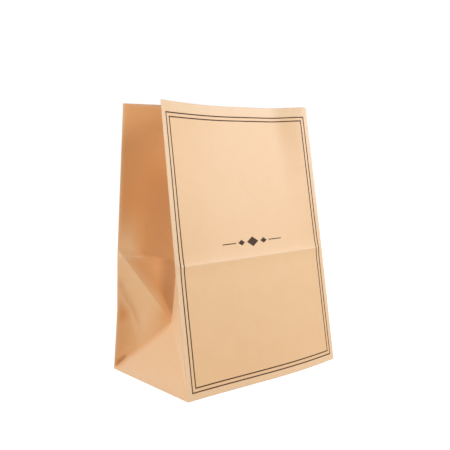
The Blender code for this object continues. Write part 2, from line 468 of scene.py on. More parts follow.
@dataclass(frozen=True)
class PaperRelief:
    """Small heights of the paper's own dents and waves, outwards from the folded shape.

    A name with calm in it is the length along which a form dies out towards a fold.
    """

    sheet: SheetSize
    wave: float = 0.00016
    wave_length: float = 0.042
    ripple: float = 0.00004
    ripple_length: float = 0.013
    calm: float = 0.012
    crease_ridge: float = 0.00110
    crease_reach: float = 0.0055
    crease_calm: float = 0.005
    side_crease_share: float = 0.3
    rim_tilt: float = 0.0012
    rim_reach: float = 0.026
    rim_calm: float = 0.020
    mouth_ridge: float = 0.0024
    mouth_middle: float = 0.052
    mouth_reach: float = 0.021
    mouth_calm: float = 0.012
    groove: float = 0.0034
    groove_start: Point = (0.0, 0.112)
    groove_end: Point = (0.023, 0.071)
    groove_steep: float = 0.006
    groove_wide: float = 0.016
    groove_fade_in: Span = (0.0, 0.35)
    groove_fade_out: Span = (1.7, 1.0)
    groove_calm: float = 0.005
    facet: float = 0.0022
    facet_width: float = 0.031
    facet_height: float = 0.038
    facet_fall: float = 0.020
    facet_foot: Span = (-0.006, 0.0)
    facet_calm: float = 0.020
    dent: float = 0.0030
    dent_place: Point = (0.0095, 0.0665)
    dent_size: Point = (0.0075, 0.0085)
    dent_calm: float = 0.004
    nick: float = 0.0012
    nick_width: float = 0.0016
    tuck: float = 0.0022
    tuck_reach: float = 0.0075
    tuck_calm: float = 0.003
    foot_fold_calm: float = 0.003
    right_share: float = 0.6

    def from_folds(self, u: float, v: float) -> float:
        """Measure from the nearest vertical fold, centre crease or base fold.

        Args:
            u: Length round the tube.
            v: Length up the paper.

        Returns:
            The distance on the flat sheet.
        """
        sheet = self.sheet
        lines = [0.0, sheet.width, sheet.width + sheet.half_depth, sheet.back_right_fold]
        lines += [sheet.back_left_fold, sheet.back_left_fold + sheet.half_depth, sheet.perimeter]
        return min(min(abs(u - line) for line in lines), v)

    def mouth_form(self, q: float, v: float) -> float:
        """The ridge along the level crease at the top of the foot, on a side's back half.

        Args:
            q: Distance from the back fold.
            v: Length up the paper.

        Returns:
            Its height, which falls to nothing at the two 45 degree creases.
        """
        half = self.sheet.half_depth
        room = half - q
        if room <= 0:
            return 0.0
        share = max(0.0, 1 - abs(v - half) / room)
        along = exp(-(((q - self.mouth_middle) / self.mouth_reach) ** 2))
        return self.mouth_ridge * along * share * smoothstep(room / self.mouth_calm)

    def groove_form(self, q: float, v: float) -> float:
        """The groove that runs down from the back fold to the dent, steep on its lower side.

        Args:
            q: Distance from the back fold.
            v: Length up the paper.

        Returns:
            Its height, below 0 in the groove.
        """
        start, end = Vector(self.groove_start), Vector(self.groove_end)
        way = (end - start).normalized()
        off = Vector((q, v)) - start
        along = off.dot(way) / (end - start).length
        across = off.dot(Vector((-way.y, way.x)))
        above = across / self.groove_wide
        depth = 1 - (above if above > 0 else smoothstep(-across / self.groove_steep))
        ends = eased(along, self.groove_fade_in) * eased(along, self.groove_fade_out)
        return -self.groove * max(depth, 0.0) * ends * smoothstep(q / self.groove_calm)

    def tuck_form(self, q: float, v: float) -> float:
        """The small pocket at the foot of the back fold."""
        near = bell((q, v), (0.0, 0.0), (self.tuck_reach, self.tuck_reach))
        return -self.tuck * near * smoothstep(q / self.tuck_calm)

    def facet_form(self, q: float, v: float) -> float:
        """The three-cornered facet just above the main crease. It rises from the back fold to a
        slanting ridge and falls away slowly past it.

        Args:
            q: Distance from the back fold.
            v: Length up the paper.

        Returns:
            Its height.
        """
        above = v - self.sheet.main_crease
        rise = 1 - max(above, 0.0) / self.facet_height
        if rise <= 0:
            return 0.0
        ridge = self.facet_width * rise
        past = exp(-max(q - ridge, 0.0) / self.facet_fall)
        below = eased(above, self.facet_foot)
        room = smoothstep((self.sheet.half_depth - q) / self.facet_calm)
        return self.facet * rise * min(q / ridge, 1.0) * past * below * room

    def dent_form(self, q: float, v: float) -> float:
        """The dent beside the back fold, and the short sharp nick across it.

        Args:
            q: Distance from the back fold.
            v: Length up the paper.

        Returns:
            Its height, below 0 in the dent.
        """
        across, up = self.dent_place
        hollow = self.dent * bell((q, v), self.dent_place, self.dent_size)
        sharp = exp(-abs(v - up) / self.nick_width)
        nick = self.nick * sharp * bell((q, up), (across, up), self.dent_size)
        return (nick - hollow) * smoothstep(q / self.dent_calm)

    def height(self, u: float, v: float) -> float:
        """Add up the waves and forms of the paper.

        Args:
            u: Length round the tube.
            v: Length up the paper.

        Returns:
            How far it stands out.
        """
        sheet = self.sheet
        loose = smoothstep(self.from_folds(u, v) / self.calm)
        at = Vector((u, v, 0.0))
        wave = self.wave * noise.noise(at / self.wave_length)
        ripple = self.ripple * noise.noise(at / self.ripple_length)
        ridge = self.crease_ridge * exp(-abs(v - sheet.main_crease) / self.crease_reach)
        ridge *= smoothstep(self.from_folds(u, v) / self.crease_calm)
        if not (u < sheet.width or sheet.back_right_fold < u < sheet.back_left_fold):
            ridge *= self.side_crease_share
        rim = self.rim_tilt * smoothstep(1 - (sheet.height - v) / self.rim_reach)
        rim *= smoothstep(self.from_folds(u, v) / self.rim_calm)
        total = loose * (wave + ripple) + ridge - (rim if u < sheet.width else 0.0)
        q = sheet.on_back_half(u)
        if q is None:
            return total
        forms = (self.mouth_form, self.groove_form, self.facet_form, self.dent_form, self.tuck_form)
        share = self.right_share if u < sheet.back_right_fold else 1.0
        standing = share * smoothstep((v - q) / self.foot_fold_calm)
        return total + standing * sum(form(q, v) for form in forms)


@dataclass(frozen=True)
class PaperWearAndLight:
    """How pale the paper is, from 0 to 1: paler where scuffed on its folds and creases and at its
    rim, and painted light along the front's margins, on the front half of each side and low in each
    side's foot."""

    sheet: SheetSize
    reach: float = 0.0008
    rim: float = 0.5
    # Painted light along the front's margins.
    margin: float = 0.65
    margin_span: Span = (0.0105, 0.0045)
    right_margin_scale: float = 1.5
    top_margin_scale: float = 0.7
    main_crease: float = 0.6
    side_main_crease: float = 0.9
    side_main_span: Span = (0.038, 0.024)
    centre_crease: float = 0.6
    foot_crease: float = 0.2
    # Painted light on the front half of each side, above its foot, where light falls.
    lit_strip: float = 0.70
    lit_strip_span: Span = (0.075, 0.055)
    # Painted light low in the foot triangle of each side.
    foot: float = 0.5
    foot_up_span: Span = (0.045, 0.0)
    foot_in_span: Span = (0.0, 0.006)

    def at(self, u: float, v: float) -> float:
        """Tell how pale the paper is, from scuffing and from painted light.

        Args:
            u: Length round the tube.
            v: Length up the paper.

        Returns:
            How pale it is, from 0 to 1.
        """
        sheet = self.sheet
        folds = (0.0, sheet.width, sheet.back_right_fold, sheet.back_left_fold)
        on_fold = min([abs(u - fold) for fold in (*folds, sheet.perimeter)] + [v])
        from_rim = sheet.height - v
        rim = self.rim * exp(-from_rim / self.reach)
        # Painted highlight: the front is painted lighter within about a centimetre of its edges.
        if u < sheet.width:
            from_right = self.right_margin_scale * (sheet.width - u)
            from_edge = min(u, from_right, v, self.top_margin_scale * from_rim)
            rim = max(rim, self.margin * eased(from_edge, self.margin_span))
        worn_and_lit = max(exp(-on_fold / self.reach), rim)
        for start, front in ((sheet.width, 0.0), (sheet.back_left_fold, sheet.depth)):
            if start < u < start + sheet.depth:
                return max(worn_and_lit, self.on_side(abs(u - start - front), v))
        return max(worn_and_lit, self.main_crease * exp(-abs(v - sheet.main_crease) / self.reach))

    def on_side(self, s: float, v: float) -> float:
        """Tell how pale a side is, with painted light on its front half and low in its foot.
        Its main crease shows most beside the back fold.

        Args:
            s: Distance from the front fold.
            v: Length up the paper.

        Returns:
            How pale it is, from 0 to 1.
        """
        sheet = self.sheet
        q = sheet.depth - s
        in_foot = min(s, q) - v
        main = self.side_main_crease * exp(-abs(v - sheet.main_crease) / (2 * self.reach))
        main *= eased(q, self.side_main_span)
        if v > sheet.half_depth:
            crease = self.centre_crease * exp(-abs(s - sheet.half_depth) / self.reach)
        else:
            crease = self.foot_crease * exp(-abs(in_foot) / (sqrt(2) * self.reach))
        # Painted light: the front half of a side, above its foot, is painted lighter.
        on_lit_strip = v > s and s < sheet.half_depth
        lit_strip = self.lit_strip * eased(s, self.lit_strip_span) if on_lit_strip else 0.0
        # Painted light: the foot triangle is painted lighter towards its bottom.
        foot = self.foot * eased(v, self.foot_up_span) * eased(in_foot, self.foot_in_span)
        return max(main, crease, lit_strip, foot)


@dataclass(frozen=True)
class SoftPatch:
    """A patch of a side's back half with soft edges.

    Each edge says how its line leans, as so much of q and so much of v, and at which sums of the
    two the patch starts and is full. q runs from the back fold and v up the paper.
    """

    strength: float
    edges: tuple[tuple[float, float, float, float], ...]

    def at(self, q: float, v: float) -> float:
        """Tell how strong the patch is at a point.

        Args:
            q: Distance from the back fold.
            v: Length up the paper.

        Returns:
            Its strength there.
        """
        share = self.strength
        for of_q, of_v, start, full in self.edges:
            share *= eased(of_q * q + of_v * v, (start, full))
        return share


@dataclass(frozen=True)
class SoftSpot:
    """A round spot of a side's back half, soft all round."""

    strength: float
    middle: Point
    size: Point

    def at(self, q: float, v: float) -> float:
        """Its strength at (q, v)."""
        return self.strength * bell((q, v), self.middle, self.size)


@dataclass(frozen=True)
class FoldShade:
    """Painted shade inside the fold of a side, from 0 to 1: the paper is painted darker and more
    orange where shade falls and light bounces between its walls, and a little lighter on the facet.

    Above the main crease a patch's v starts at that crease.
    """

    sheet: SheetSize
    above: float = 0.60
    above_fade: SoftPatch = SoftPatch(0.18, ((0, 1, 0.05, 0.15),))
    above_deep: SoftPatch = SoftPatch(0.24, ((1, 0, 0.014, 0.054), (0, 1, 0.125, 0.085)))
    facet: SoftPatch = SoftPatch(1.0, ((1, 0, 0.033, 0.011), (0, 1, 0.064, 0.004)))
    past_diagonal: SoftPatch = SoftPatch(0.5, ((1, 1, 0.1413431, 0.1583137),))
    deepest_shade: SoftPatch = SoftPatch(0.45, ((1, 0, 0.044, 0.062), (1, 1, 0.147, 0.1611421)))
    low: SoftPatch = SoftPatch(0.42, ((1, 0, 0.040, 0.010), (2, 1, 0.105, 0.085)))
    dent: SoftSpot = SoftSpot(0.2, (0.0095, 0.067), (0.007, 0.008))
    pocket: SoftPatch = SoftPatch(0.7, ((1, 0, 0.018, 0.008), (-1, 1, 0.009, 0.005)))
    corner: SoftSpot = SoftSpot(0.26, (0.064, 0.080), (0.012, 0.020))
    off_foot: SoftPatch = SoftPatch(1.0, ((-1, 1, 0.0, 0.002),))
    foot_edge: SoftPatch = SoftPatch(
        0.24, ((-1, 1, -0.010, 0.002), (-1, 1, 0.038, 0.008), (1, 0, 0.014, 0.028))
    )
    strip: float = 0.20
    strip_low: SoftPatch = SoftPatch(0.35, ((1, 0, 0.022, 0.012),))
    strip_ends: SoftPatch = SoftPatch(1.0, ((0, 1, 0.078, 0.068), (0, 1, 0.0, 0.006)))
    strip_line: float = -0.002
    strip_width: float = 0.006
    soft_edge: float = 0.004

    def at(self, u: float, v: float) -> float:
        """Tell how strong the painted shade is.

        Args:
            u: Length round the tube.
            v: Length up the paper.

        Returns:
            The painted shade, from 0 to 1.
        """
        sheet = self.sheet
        q = sheet.on_back_half(u)
        if q is None:
            return 0.0
        above = v - sheet.main_crease
        upper = self.above - self.above_fade.at(q, above) + self.above_deep.at(q, above)
        # Painted light: less painted shade on the facet just above the main crease.
        upper *= 1 - self.facet.at(q, above)
        patches = (
            self.past_diagonal,
            self.deepest_shade,
            self.low,
            self.dent,
            self.pocket,
            self.corner,
        )
        # Painted shade below the main crease: darker in the deep V, the pocket, the dent and beside
        # the foot crease.
        lower = sum(patch.at(q, v) for patch in patches) * self.off_foot.at(q, v)
        lower += self.foot_edge.at(q, v)
        on_strip = exp(-(((v - q - self.strip_line) / self.strip_width) ** 2))
        lower += (self.strip + self.strip_low.at(q, v)) * on_strip * self.strip_ends.at(q, v)
        share = smoothstep(above / self.soft_edge)
        tone = share * upper + (1 - share) * lower
        return min(tone, 1.0) * smoothstep(q / self.soft_edge)


@dataclass
class BagSheet:
    """The whole bag as one fine mesh, from its flat sheet to its standing shape."""

    sheet: SheetSize
    shape: FoldedShape
    relief: PaperRelief
    # The next field is paleness from scuffing and painted light.
    wear_and_light: PaperWearAndLight
    # The next field is painted shade inside the folds of the sides.
    tone: FoldShade
    panel_columns: int = 92
    half_side_columns: int = 30
    upper_rows: int = 54
    support: float = 0.0008
    name: str = "kraft_bag"
    uv_name: str = "sheet"
    light_and_wear_name: str = "fold_wear_and_light"
    # The attribute of painted shade inside the folds of the sides.
    shade_name: str = "fold_shade"
    mesh: bmesh.types.BMesh = field(default_factory=bmesh.new)

    def add_patch(
        self, low: Point, high: Point, columns: int, rows: int
    ) -> None:
        """Add one evenly divided rectangle of the flat sheet.

        Args:
            low: Its lowest u and v.
            high: Its highest u and v.
            columns: Cells along u.
            rows: Cells along v.
        """
        made = bmesh.ops.create_grid(self.mesh, x_segments=columns, y_segments=rows, size=0.5)
        scale = Vector((high[0] - low[0], high[1] - low[1], 1.0))
        bmesh.ops.scale(self.mesh, vec=scale, verts=made["verts"])
        middle = Vector(((low[0] + high[0]) / 2, (low[1] + high[1]) / 2, 0.0))
        bmesh.ops.translate(self.mesh, vec=middle, verts=made["verts"])

    def cut(
        self, faces: list[bmesh.types.BMFace], point: Vector, across: Vector
    ) -> list[bmesh.types.BMFace]:
        """Cut some faces along a plane.

        Args:
            faces: The faces.
            point: A point of the plane.
            across: The direction across it.

        Returns:
            The faces that they become.
        """
        edges = {edge for face in faces for edge in face.edges}
        verts = {vert for face in faces for vert in face.verts}
        made = bmesh.ops.bisect_plane(
            self.mesh,
            geom=[*faces, *edges, *verts],
            plane_co=point,
            plane_no=across,
            dist=TOLERANCE,
        )
        return [part for part in made["geom"] if isinstance(part, bmesh.types.BMFace)]

    def crease(
        self,
        point: Point,
        normal: Point,
        within: tuple[Point, Point] | None = None,
        offsets: tuple[float, ...] | None = None,
    ) -> None:
        """Cut a crease and the lines beside it that hold its rounding.

        Args:
            point: A point of the crease on the flat sheet.
            normal: The direction across it.
            within: The low and the high corner of the part to cut. All where it is left out.
            offsets: Where to cut, across the crease. The rounding's own lines where left out.
        """
        if offsets is None:
            r = self.shape.fold_radius
            offsets = (-self.support, -r, 0.0, r, self.support)
        across = Vector((*normal, 0.0)).normalized()
        whole = ((0.0, 0.0), (self.sheet.perimeter, self.sheet.height))
        (left, low), (right, high) = within or whole
        for offset in offsets:
            middles = ((face, face.calc_center_median()) for face in self.mesh.faces)
            faces = [face for face, at in middles if left < at.x < right and low < at.y < high]
            self.cut(faces, Vector((*point, 0.0)) + across * offset, across)

    def lay_flat(self) -> None:
        """Make the flat sheet, with lines along each fold and crease."""
        sheet = self.sheet
        side_columns = 2 * self.half_side_columns
        start = 0.0
        for panel, columns in ((sheet.width, self.panel_columns), (sheet.depth, side_columns)) * 2:
            self.add_patch((start, 0.0), (start + panel, sheet.depth), columns, side_columns)
            self.add_patch(
                (start, sheet.depth), (start + panel, sheet.height), columns, self.upper_rows
            )
            start += panel
        bmesh.ops.remove_doubles(self.mesh, verts=self.mesh.verts[:], dist=TOLERANCE)
        r = self.shape.fold_radius
        self.crease((0.0, 0.0), (1.0, 0.0), offsets=(r, self.support))
        self.crease((sheet.perimeter, 0.0), (-1.0, 0.0), offsets=(r, self.support))
        self.crease((0.0, 0.0), (0.0, 1.0), offsets=(self.support,))
        self.crease((0.0, sheet.height), (0.0, -1.0), offsets=(self.support / 2,))
        for fold in (sheet.width, sheet.back_right_fold, sheet.back_left_fold):
            self.crease((fold, 0.0), (1.0, 0.0))
        self.crease((0.0, sheet.main_crease), (0.0, 1.0))
        step = sheet.layer_step
        layers = (-sheet.seam_overlap - step, -sheet.seam_overlap, 0.0, step)
        self.crease((sheet.seam_far_edge, 0.0), (1.0, 0.0), offsets=layers)
        for start in (sheet.width, sheet.back_left_fold):
            self.crease_side(start)
        for back_fold, way in ((sheet.back_right_fold, -1.0), (sheet.back_left_fold, 1.0)):
            self.crease_back_half(back_fold, way)

    def crease_side(self, start: float) -> None:
        """Cut a side's centre crease and the two 45 degree creases of its foot.

        Args:
            start: The u of the side's left edge on the flat sheet.
        """
        sheet = self.sheet
        end = start + sheet.depth
        middle = start + sheet.half_depth
        margin = 2 * self.support
        top = sheet.half_depth + margin
        above_foot = ((start, sheet.half_depth - margin), (end, sheet.height))
        self.crease((middle, 0.0), (1.0, 0.0), above_foot)
        self.crease((start, 0.0), (-1.0, 1.0), ((start, 0.0), (middle + margin, top)))
        self.crease((end, 0.0), (1.0, 1.0), ((middle - margin, 0.0), (end, top)))

    def crease_back_half(self, back_fold: float, way: float) -> None:
        """Cut the creases that the folded-up base leaves on a side's back half.

        Args:
            back_fold: The u of the fold between the side and the back.
            way: 1 where the side runs up in u from there, and -1 where it runs down.
        """
        sheet = self.sheet
        middle = back_fold + way * sheet.half_depth
        low, high = min(back_fold, middle), max(back_fold, middle)
        half_side = ((low, sheet.half_depth), (high, sheet.depth))
        self.crease((middle, sheet.half_depth), (way, 1.0), half_side)

    def wall_layers(self, u: float) -> int:
        """Count the glued layers of the wall.

        Args:
            u: Length round the tube.

        Returns:
            How many there are.
        """
        sheet = self.sheet
        near = sheet.seam_far_edge - sheet.seam_overlap - TOLERANCE
        inside = near <= u <= sheet.seam_far_edge + TOLERANCE
        return sheet.seam_layers if inside else sheet.wall_layers

    def stand_up(self, layers: bmesh.types.BMLayerItem) -> None:
        """Keep each point's place on the flat sheet as its UV, then fold the sheet.

        Args:
            layers: Vertex layer that takes the count of glued layers.
        """
        # One layer stores paleness from scuffing and painted light, the other painted shade.
        worn_and_lit = self.mesh.verts.layers.float.new(self.light_and_wear_name)
        tone = self.mesh.verts.layers.float.new(self.shade_name)
        uv = self.mesh.loops.layers.uv.new(self.uv_name)
        for face in self.mesh.faces:
            for loop in face.loops:
                loop[uv].uv = loop.vert.co.xy
        reliefs = {}
        for vert in self.mesh.verts:
            u, v = vert.co.xy
            reliefs[vert] = self.relief.height(u, v)
            vert[layers] = self.wall_layers(u)
            vert[worn_and_lit] = self.wear_and_light.at(u, v)
            vert[tone] = self.tone.at(u, v)
            vert.co = self.shape.place(u, v)
        self.mesh.normal_update()
        outwards = self.outward_sign()
        moves = {vert: vert.normal * height * outwards for vert, height in reliefs.items()}
        for vert, move in moves.items():
            vert.co += move
        bmesh.ops.remove_doubles(self.mesh, verts=self.mesh.verts[:], dist=TOLERANCE)

    def outward_sign(self) -> float:
        """Tell which way the folded sheet's normals point.

        Returns:
            1 where they point out of the bag, and -1 where they point in.
        """
        faces = self.mesh.faces
        total = sum(face.normal.dot(face.calc_center_median().xy.to_3d()) for face in faces)
        return 1.0 if total > 0 else -1.0

    def in_flap(self, x: float, past_middle: float) -> bool:
        """Tell whether a base point is on the flap folded in from one long edge.

        Args:
            x: The point's x.
            past_middle: How far it lies past the middle of the base, seen from that edge.

        Returns:
            True on the flap, whose ends are cut at 45 degrees.
        """
        sheet = self.sheet
        if past_middle > sheet.flap_overlap / 2 + TOLERANCE:
            return False
        return abs(x) <= sheet.width / 2 - past_middle - sheet.half_depth + TOLERANCE

    def base_layers(self, at: Vector) -> int:
        """Count the glued layers of the base. The flap from the front lies outermost.

        Args:
            at: A point of the base.

        Returns:
            How many there are.
        """
        if self.in_flap(at.x, at.y):
            return self.sheet.outer_flap_layers
        if self.in_flap(at.x, -at.y):
            return self.sheet.inner_flap_layers
        return self.sheet.wall_layers

    def flap_lines(self) -> list[tuple[Vector, Vector]]:
        """List the cut edges of the two base flaps.

        Returns:
            A point and the outward direction of each.
        """
        sheet = self.sheet
        lines = []
        for flap in (1, -1):
            lines.append((Vector((0.0, flap * sheet.flap_overlap / 2)), Vector((0.0, flap))))
            for side in (-1, 1):
                corner = Vector((side * sheet.width / 2, -flap * sheet.half_depth))
                lines.append((corner, Vector((side, flap)).normalized()))
        return lines

    def close_base(self, layers: bmesh.types.BMLayerItem) -> None:
        """Close the foot of the tube and cut the outlines of the two flaps into it.

        Args:
            layers: Vertex layer that takes the count of glued layers.
        """
        sheet = self.sheet
        floor = sheet.inside_floor
        foot = [
            edge
            for edge in self.mesh.edges
            if edge.is_boundary and all(abs(v.co.z - floor) < TOLERANCE for v in edge.verts)
        ]
        region = bmesh.ops.contextual_create(self.mesh, geom=foot)["faces"]
        bmesh.ops.inset_region(
            self.mesh, faces=region, thickness=sheet.flap_inset, use_even_offset=True
        )
        for point, direction in self.flap_lines():
            for offset in (0.0, sheet.layer_step):
                at = Vector((*(point + direction * offset), floor))
                region = self.cut(region, at, direction.to_3d())
        for vert in {vert for face in region for vert in face.verts}:
            vert[layers] = self.base_layers(vert.co)
        uv = self.mesh.loops.layers.uv[self.uv_name]
        for face in self.mesh.faces:
            if all(abs(vert.co.z - floor) < TOLERANCE for vert in face.verts):
                for loop in face.loops:
                    at = loop.vert.co
                    loop[uv].uv = (at.x + sheet.width / 2, -(at.y + sheet.half_depth))

    def build(self, finishes: dict[PaperFace, bpy.types.Material]) -> bpy.types.Object:
        """Make the bag.

        Args:
            finishes: The material of each face of the sheet.

        Returns:
            The bag's object.
        """
        self.lay_flat()
        layers = self.mesh.verts.layers.int.new("layers")
        self.stand_up(layers)
        self.close_base(layers)
        bmesh.ops.recalc_face_normals(self.mesh, faces=self.mesh.faces[:])
        for face in self.mesh.faces:
            face.smooth = True
        counts = [vert[layers] for vert in self.mesh.verts]
        self.mesh.verts.layers.int.remove(layers)
        data = bpy.data.meshes.new(self.name)
        self.mesh.to_mesh(data)
        self.mesh.free()
        for face in PaperFace:
            data.materials.append(finishes[face])
        bag = new_object(self.name, data)
        self.thicken(bag, counts)
        return bag

    def thicken(self, bag: bpy.types.Object, counts: list[int]) -> None:
        """Give the sheet its thickness, more where layers are glued.

        Args:
            bag: The bag's object, whose mesh is the inner face.
            counts: The glued layers at each vertex.
        """
        most = self.sheet.outer_flap_layers
        glued = bag.vertex_groups.new(name="glued_layers")
        for index, count in enumerate(counts):
            glued.add([index], count / most, "REPLACE")
        paper = bag.modifiers.new("Paper", "SOLIDIFY")
        paper.thickness = most * self.sheet.paper
        paper.offset = 1
        paper.vertex_group = glued.name
        paper.use_quality_normals = True
        paper.material_offset = PaperFace.INSIDE.value
        paper.material_offset_rim = PaperFace.CUT_EDGE.value


@dataclass
class Finish:
    """Adds and joins the nodes of one material, or of the world."""

    owner: bpy.types.Material | bpy.types.World

    def __post_init__(self) -> None:
        """Give the owner its node tree."""
        self.owner.use_nodes = True

    def node(self, name: str) -> bpy.types.Node:
        """The node that the tree has from the start under a name."""
        return self.owner.node_tree.nodes[name]

    def give(self, socket: Socket, value: Value) -> None:
        """Link a socket to another, or set its value.

        Args:
            socket: The input.
            value: What it gets.
        """
        if isinstance(value, bpy.types.NodeSocket):
            self.owner.node_tree.links.new(value, socket)
        else:
            socket.default_value = value

    def fill(self, node: bpy.types.Node, inputs: dict[str | int, Value]) -> bpy.types.Node:
        """Give inputs their values or links.

        Args:
            node: The node.
            inputs: A value or a socket for each input named.

        Returns:
            The same node.
        """
        for key, value in inputs.items():
            self.give(node.inputs[key], value)
        return node

    def add(self, kind: str, inputs: dict[str | int, Value], **settings: object) -> bpy.types.Node:
        """Add a node.

        Args:
            kind: Its type.
            inputs: A value or a socket for each input named.
            settings: Values of the node's own properties.

        Returns:
            The node.
        """
        node = self.owner.node_tree.nodes.new(kind)
        for key, value in settings.items():
            setattr(node, key, value)
        return self.fill(node, inputs)

    def math(self, operation: str, *values: Value) -> Socket:
        """The result of a Math node."""
        return self.add("ShaderNodeMath", dict(enumerate(values)), operation=operation).outputs[0]

    def apart(self, first: Value, second: Value) -> Socket:
        """How far two values lie apart."""
        return self.math("ABSOLUTE", self.math("SUBTRACT", first, second))

    def ramp(self, value: Value, start: float, end: float, low: float, high: float) -> Socket:
        """A value that goes evenly from low to high as the input goes from start to end."""
        inputs = {0: value, 1: start, 2: end, 3: low, 4: high}
        return self.add("ShaderNodeMapRange", inputs, clamp=True).outputs[0]

    def mix(self, share: Value, first: Value, second: Colour, blend: str = "MIX") -> Socket:
        """The first colour, blended with the second by a share."""
        inputs = {"Factor": share, 6: first, 7: (*second, 1.0)}
        return self.add("ShaderNodeMix", inputs, data_type="RGBA", blend_type=blend).outputs[2]

    def attribute(self, name: str) -> Socket:
        """The value of one of the mesh's attributes."""
        return self.add("ShaderNodeAttribute", {}, attribute_name=name).outputs["Fac"]

    def noise(self, at: Socket, scale: float, detail: float, roughness: float = 0.5) -> Socket:
        """The value of a noise texture, about 0.5."""
        inputs = {"Vector": at, "Scale": scale, "Detail": detail, "Roughness": roughness}
        return self.add("ShaderNodeTexNoise", inputs).outputs[0]

    def stretched(self, at: Socket, turn: float, scale: Point) -> Socket:
        """Coordinates turned by an angle in degrees and then scaled."""
        inputs = {"Vector": at, "Rotation": (0.0, 0.0, radians(turn)), "Scale": (*scale, 1.0)}
        return self.add("ShaderNodeMapping", inputs, vector_type="POINT").outputs[0]


@dataclass(frozen=True)
class PanelPrint:
    """Ink on the front panel: a double rule near its edges, and a plain divider of lozenges."""

    sheet: SheetSize
    side_margin: float = 0.00645
    top_margin: float = 0.01206
    bottom_margin: float = 0.00759
    rule_width: float = 0.00135
    rule_gap: float = 0.0044
    soft_edge: float = 0.00012
    divider_height: float = 0.153
    lozenges: tuple[tuple[float, float, float], ...] = (
        (0.0, 0.0085, 0.0055),
        (0.0165, 0.0050, 0.0032),
        (-0.0165, 0.0050, 0.0032),
    )
    bar_start: float = 0.0245
    bar_end: float = 0.0440
    bar_width: float = 0.0011

    def inked(self, finish: Finish, depth: Socket) -> Socket:
        """1 where depth is well above 0, and 0 where it is well below."""
        return finish.ramp(depth, -self.soft_edge / 2, self.soft_edge / 2, 0.0, 1.0)

    def line(self, finish: Finish, distance: Socket, width: float) -> Socket:
        """The ink of a line, where the distance from its middle is less than half its width."""
        return self.inked(finish, finish.math("SUBTRACT", width / 2, distance))

    def border(self, finish: Finish, u: Socket, v: Socket) -> Socket:
        """The ink of the two rules.

        Args:
            finish: The material to add nodes to.
            u: Length round the tube.
            v: Length up the paper.

        Returns:
            1 on the ink and 0 off it.
        """
        sheet = self.sheet
        low, high = self.bottom_margin, sheet.height - self.top_margin
        half_width = sheet.width / 2 - self.side_margin
        half_height = (high - low) / 2
        off_side = finish.apart(u, sheet.width / 2)
        off_end = finish.apart(v, (low + high) / 2)
        past_side = finish.math("SUBTRACT", off_side, half_width)
        past_end = finish.math("SUBTRACT", off_end, half_height)
        outside = finish.math("MAXIMUM", past_side, past_end)
        rules = [
            self.line(finish, finish.apart(outside, inset), self.rule_width)
            for inset in (0.0, -self.rule_gap)
        ]
        return finish.math("MAXIMUM", *rules)

    def divider(self, finish: Finish, u: Socket, v: Socket) -> Socket:
        """The ink of the lozenges and of the bar on either side of them.

        Args:
            finish: The material to add nodes to.
            u: Length round the tube.
            v: Length up the paper.

        Returns:
            1 on the ink and 0 off it.
        """
        along = finish.math("SUBTRACT", u, self.sheet.width / 2)
        up = finish.apart(v, self.divider_height)
        middle = (self.bar_start + self.bar_end) / 2
        beyond = finish.apart(finish.math("ABSOLUTE", along), middle)
        in_length = finish.math("SUBTRACT", (self.bar_end - self.bar_start) / 2, beyond)
        in_width = finish.math("SUBTRACT", self.bar_width / 2, up)
        ink = self.inked(finish, finish.math("MINIMUM", in_length, in_width))
        for place, half_width, half_height in self.lozenges:
            across = finish.apart(along, place)
            rise = finish.math("MULTIPLY", up, half_width / half_height)
            depth = finish.math("SUBTRACT", half_width, finish.math("ADD", across, rise))
            ink = finish.math("MAXIMUM", ink, self.inked(finish, depth))
        return ink

    def ink(self, finish: Finish, u: Socket, v: Socket) -> Socket:
        """All of the print: 1 on the ink and 0 off it."""
        return finish.math("MAXIMUM", self.border(finish, u, v), self.divider(finish, u, v))


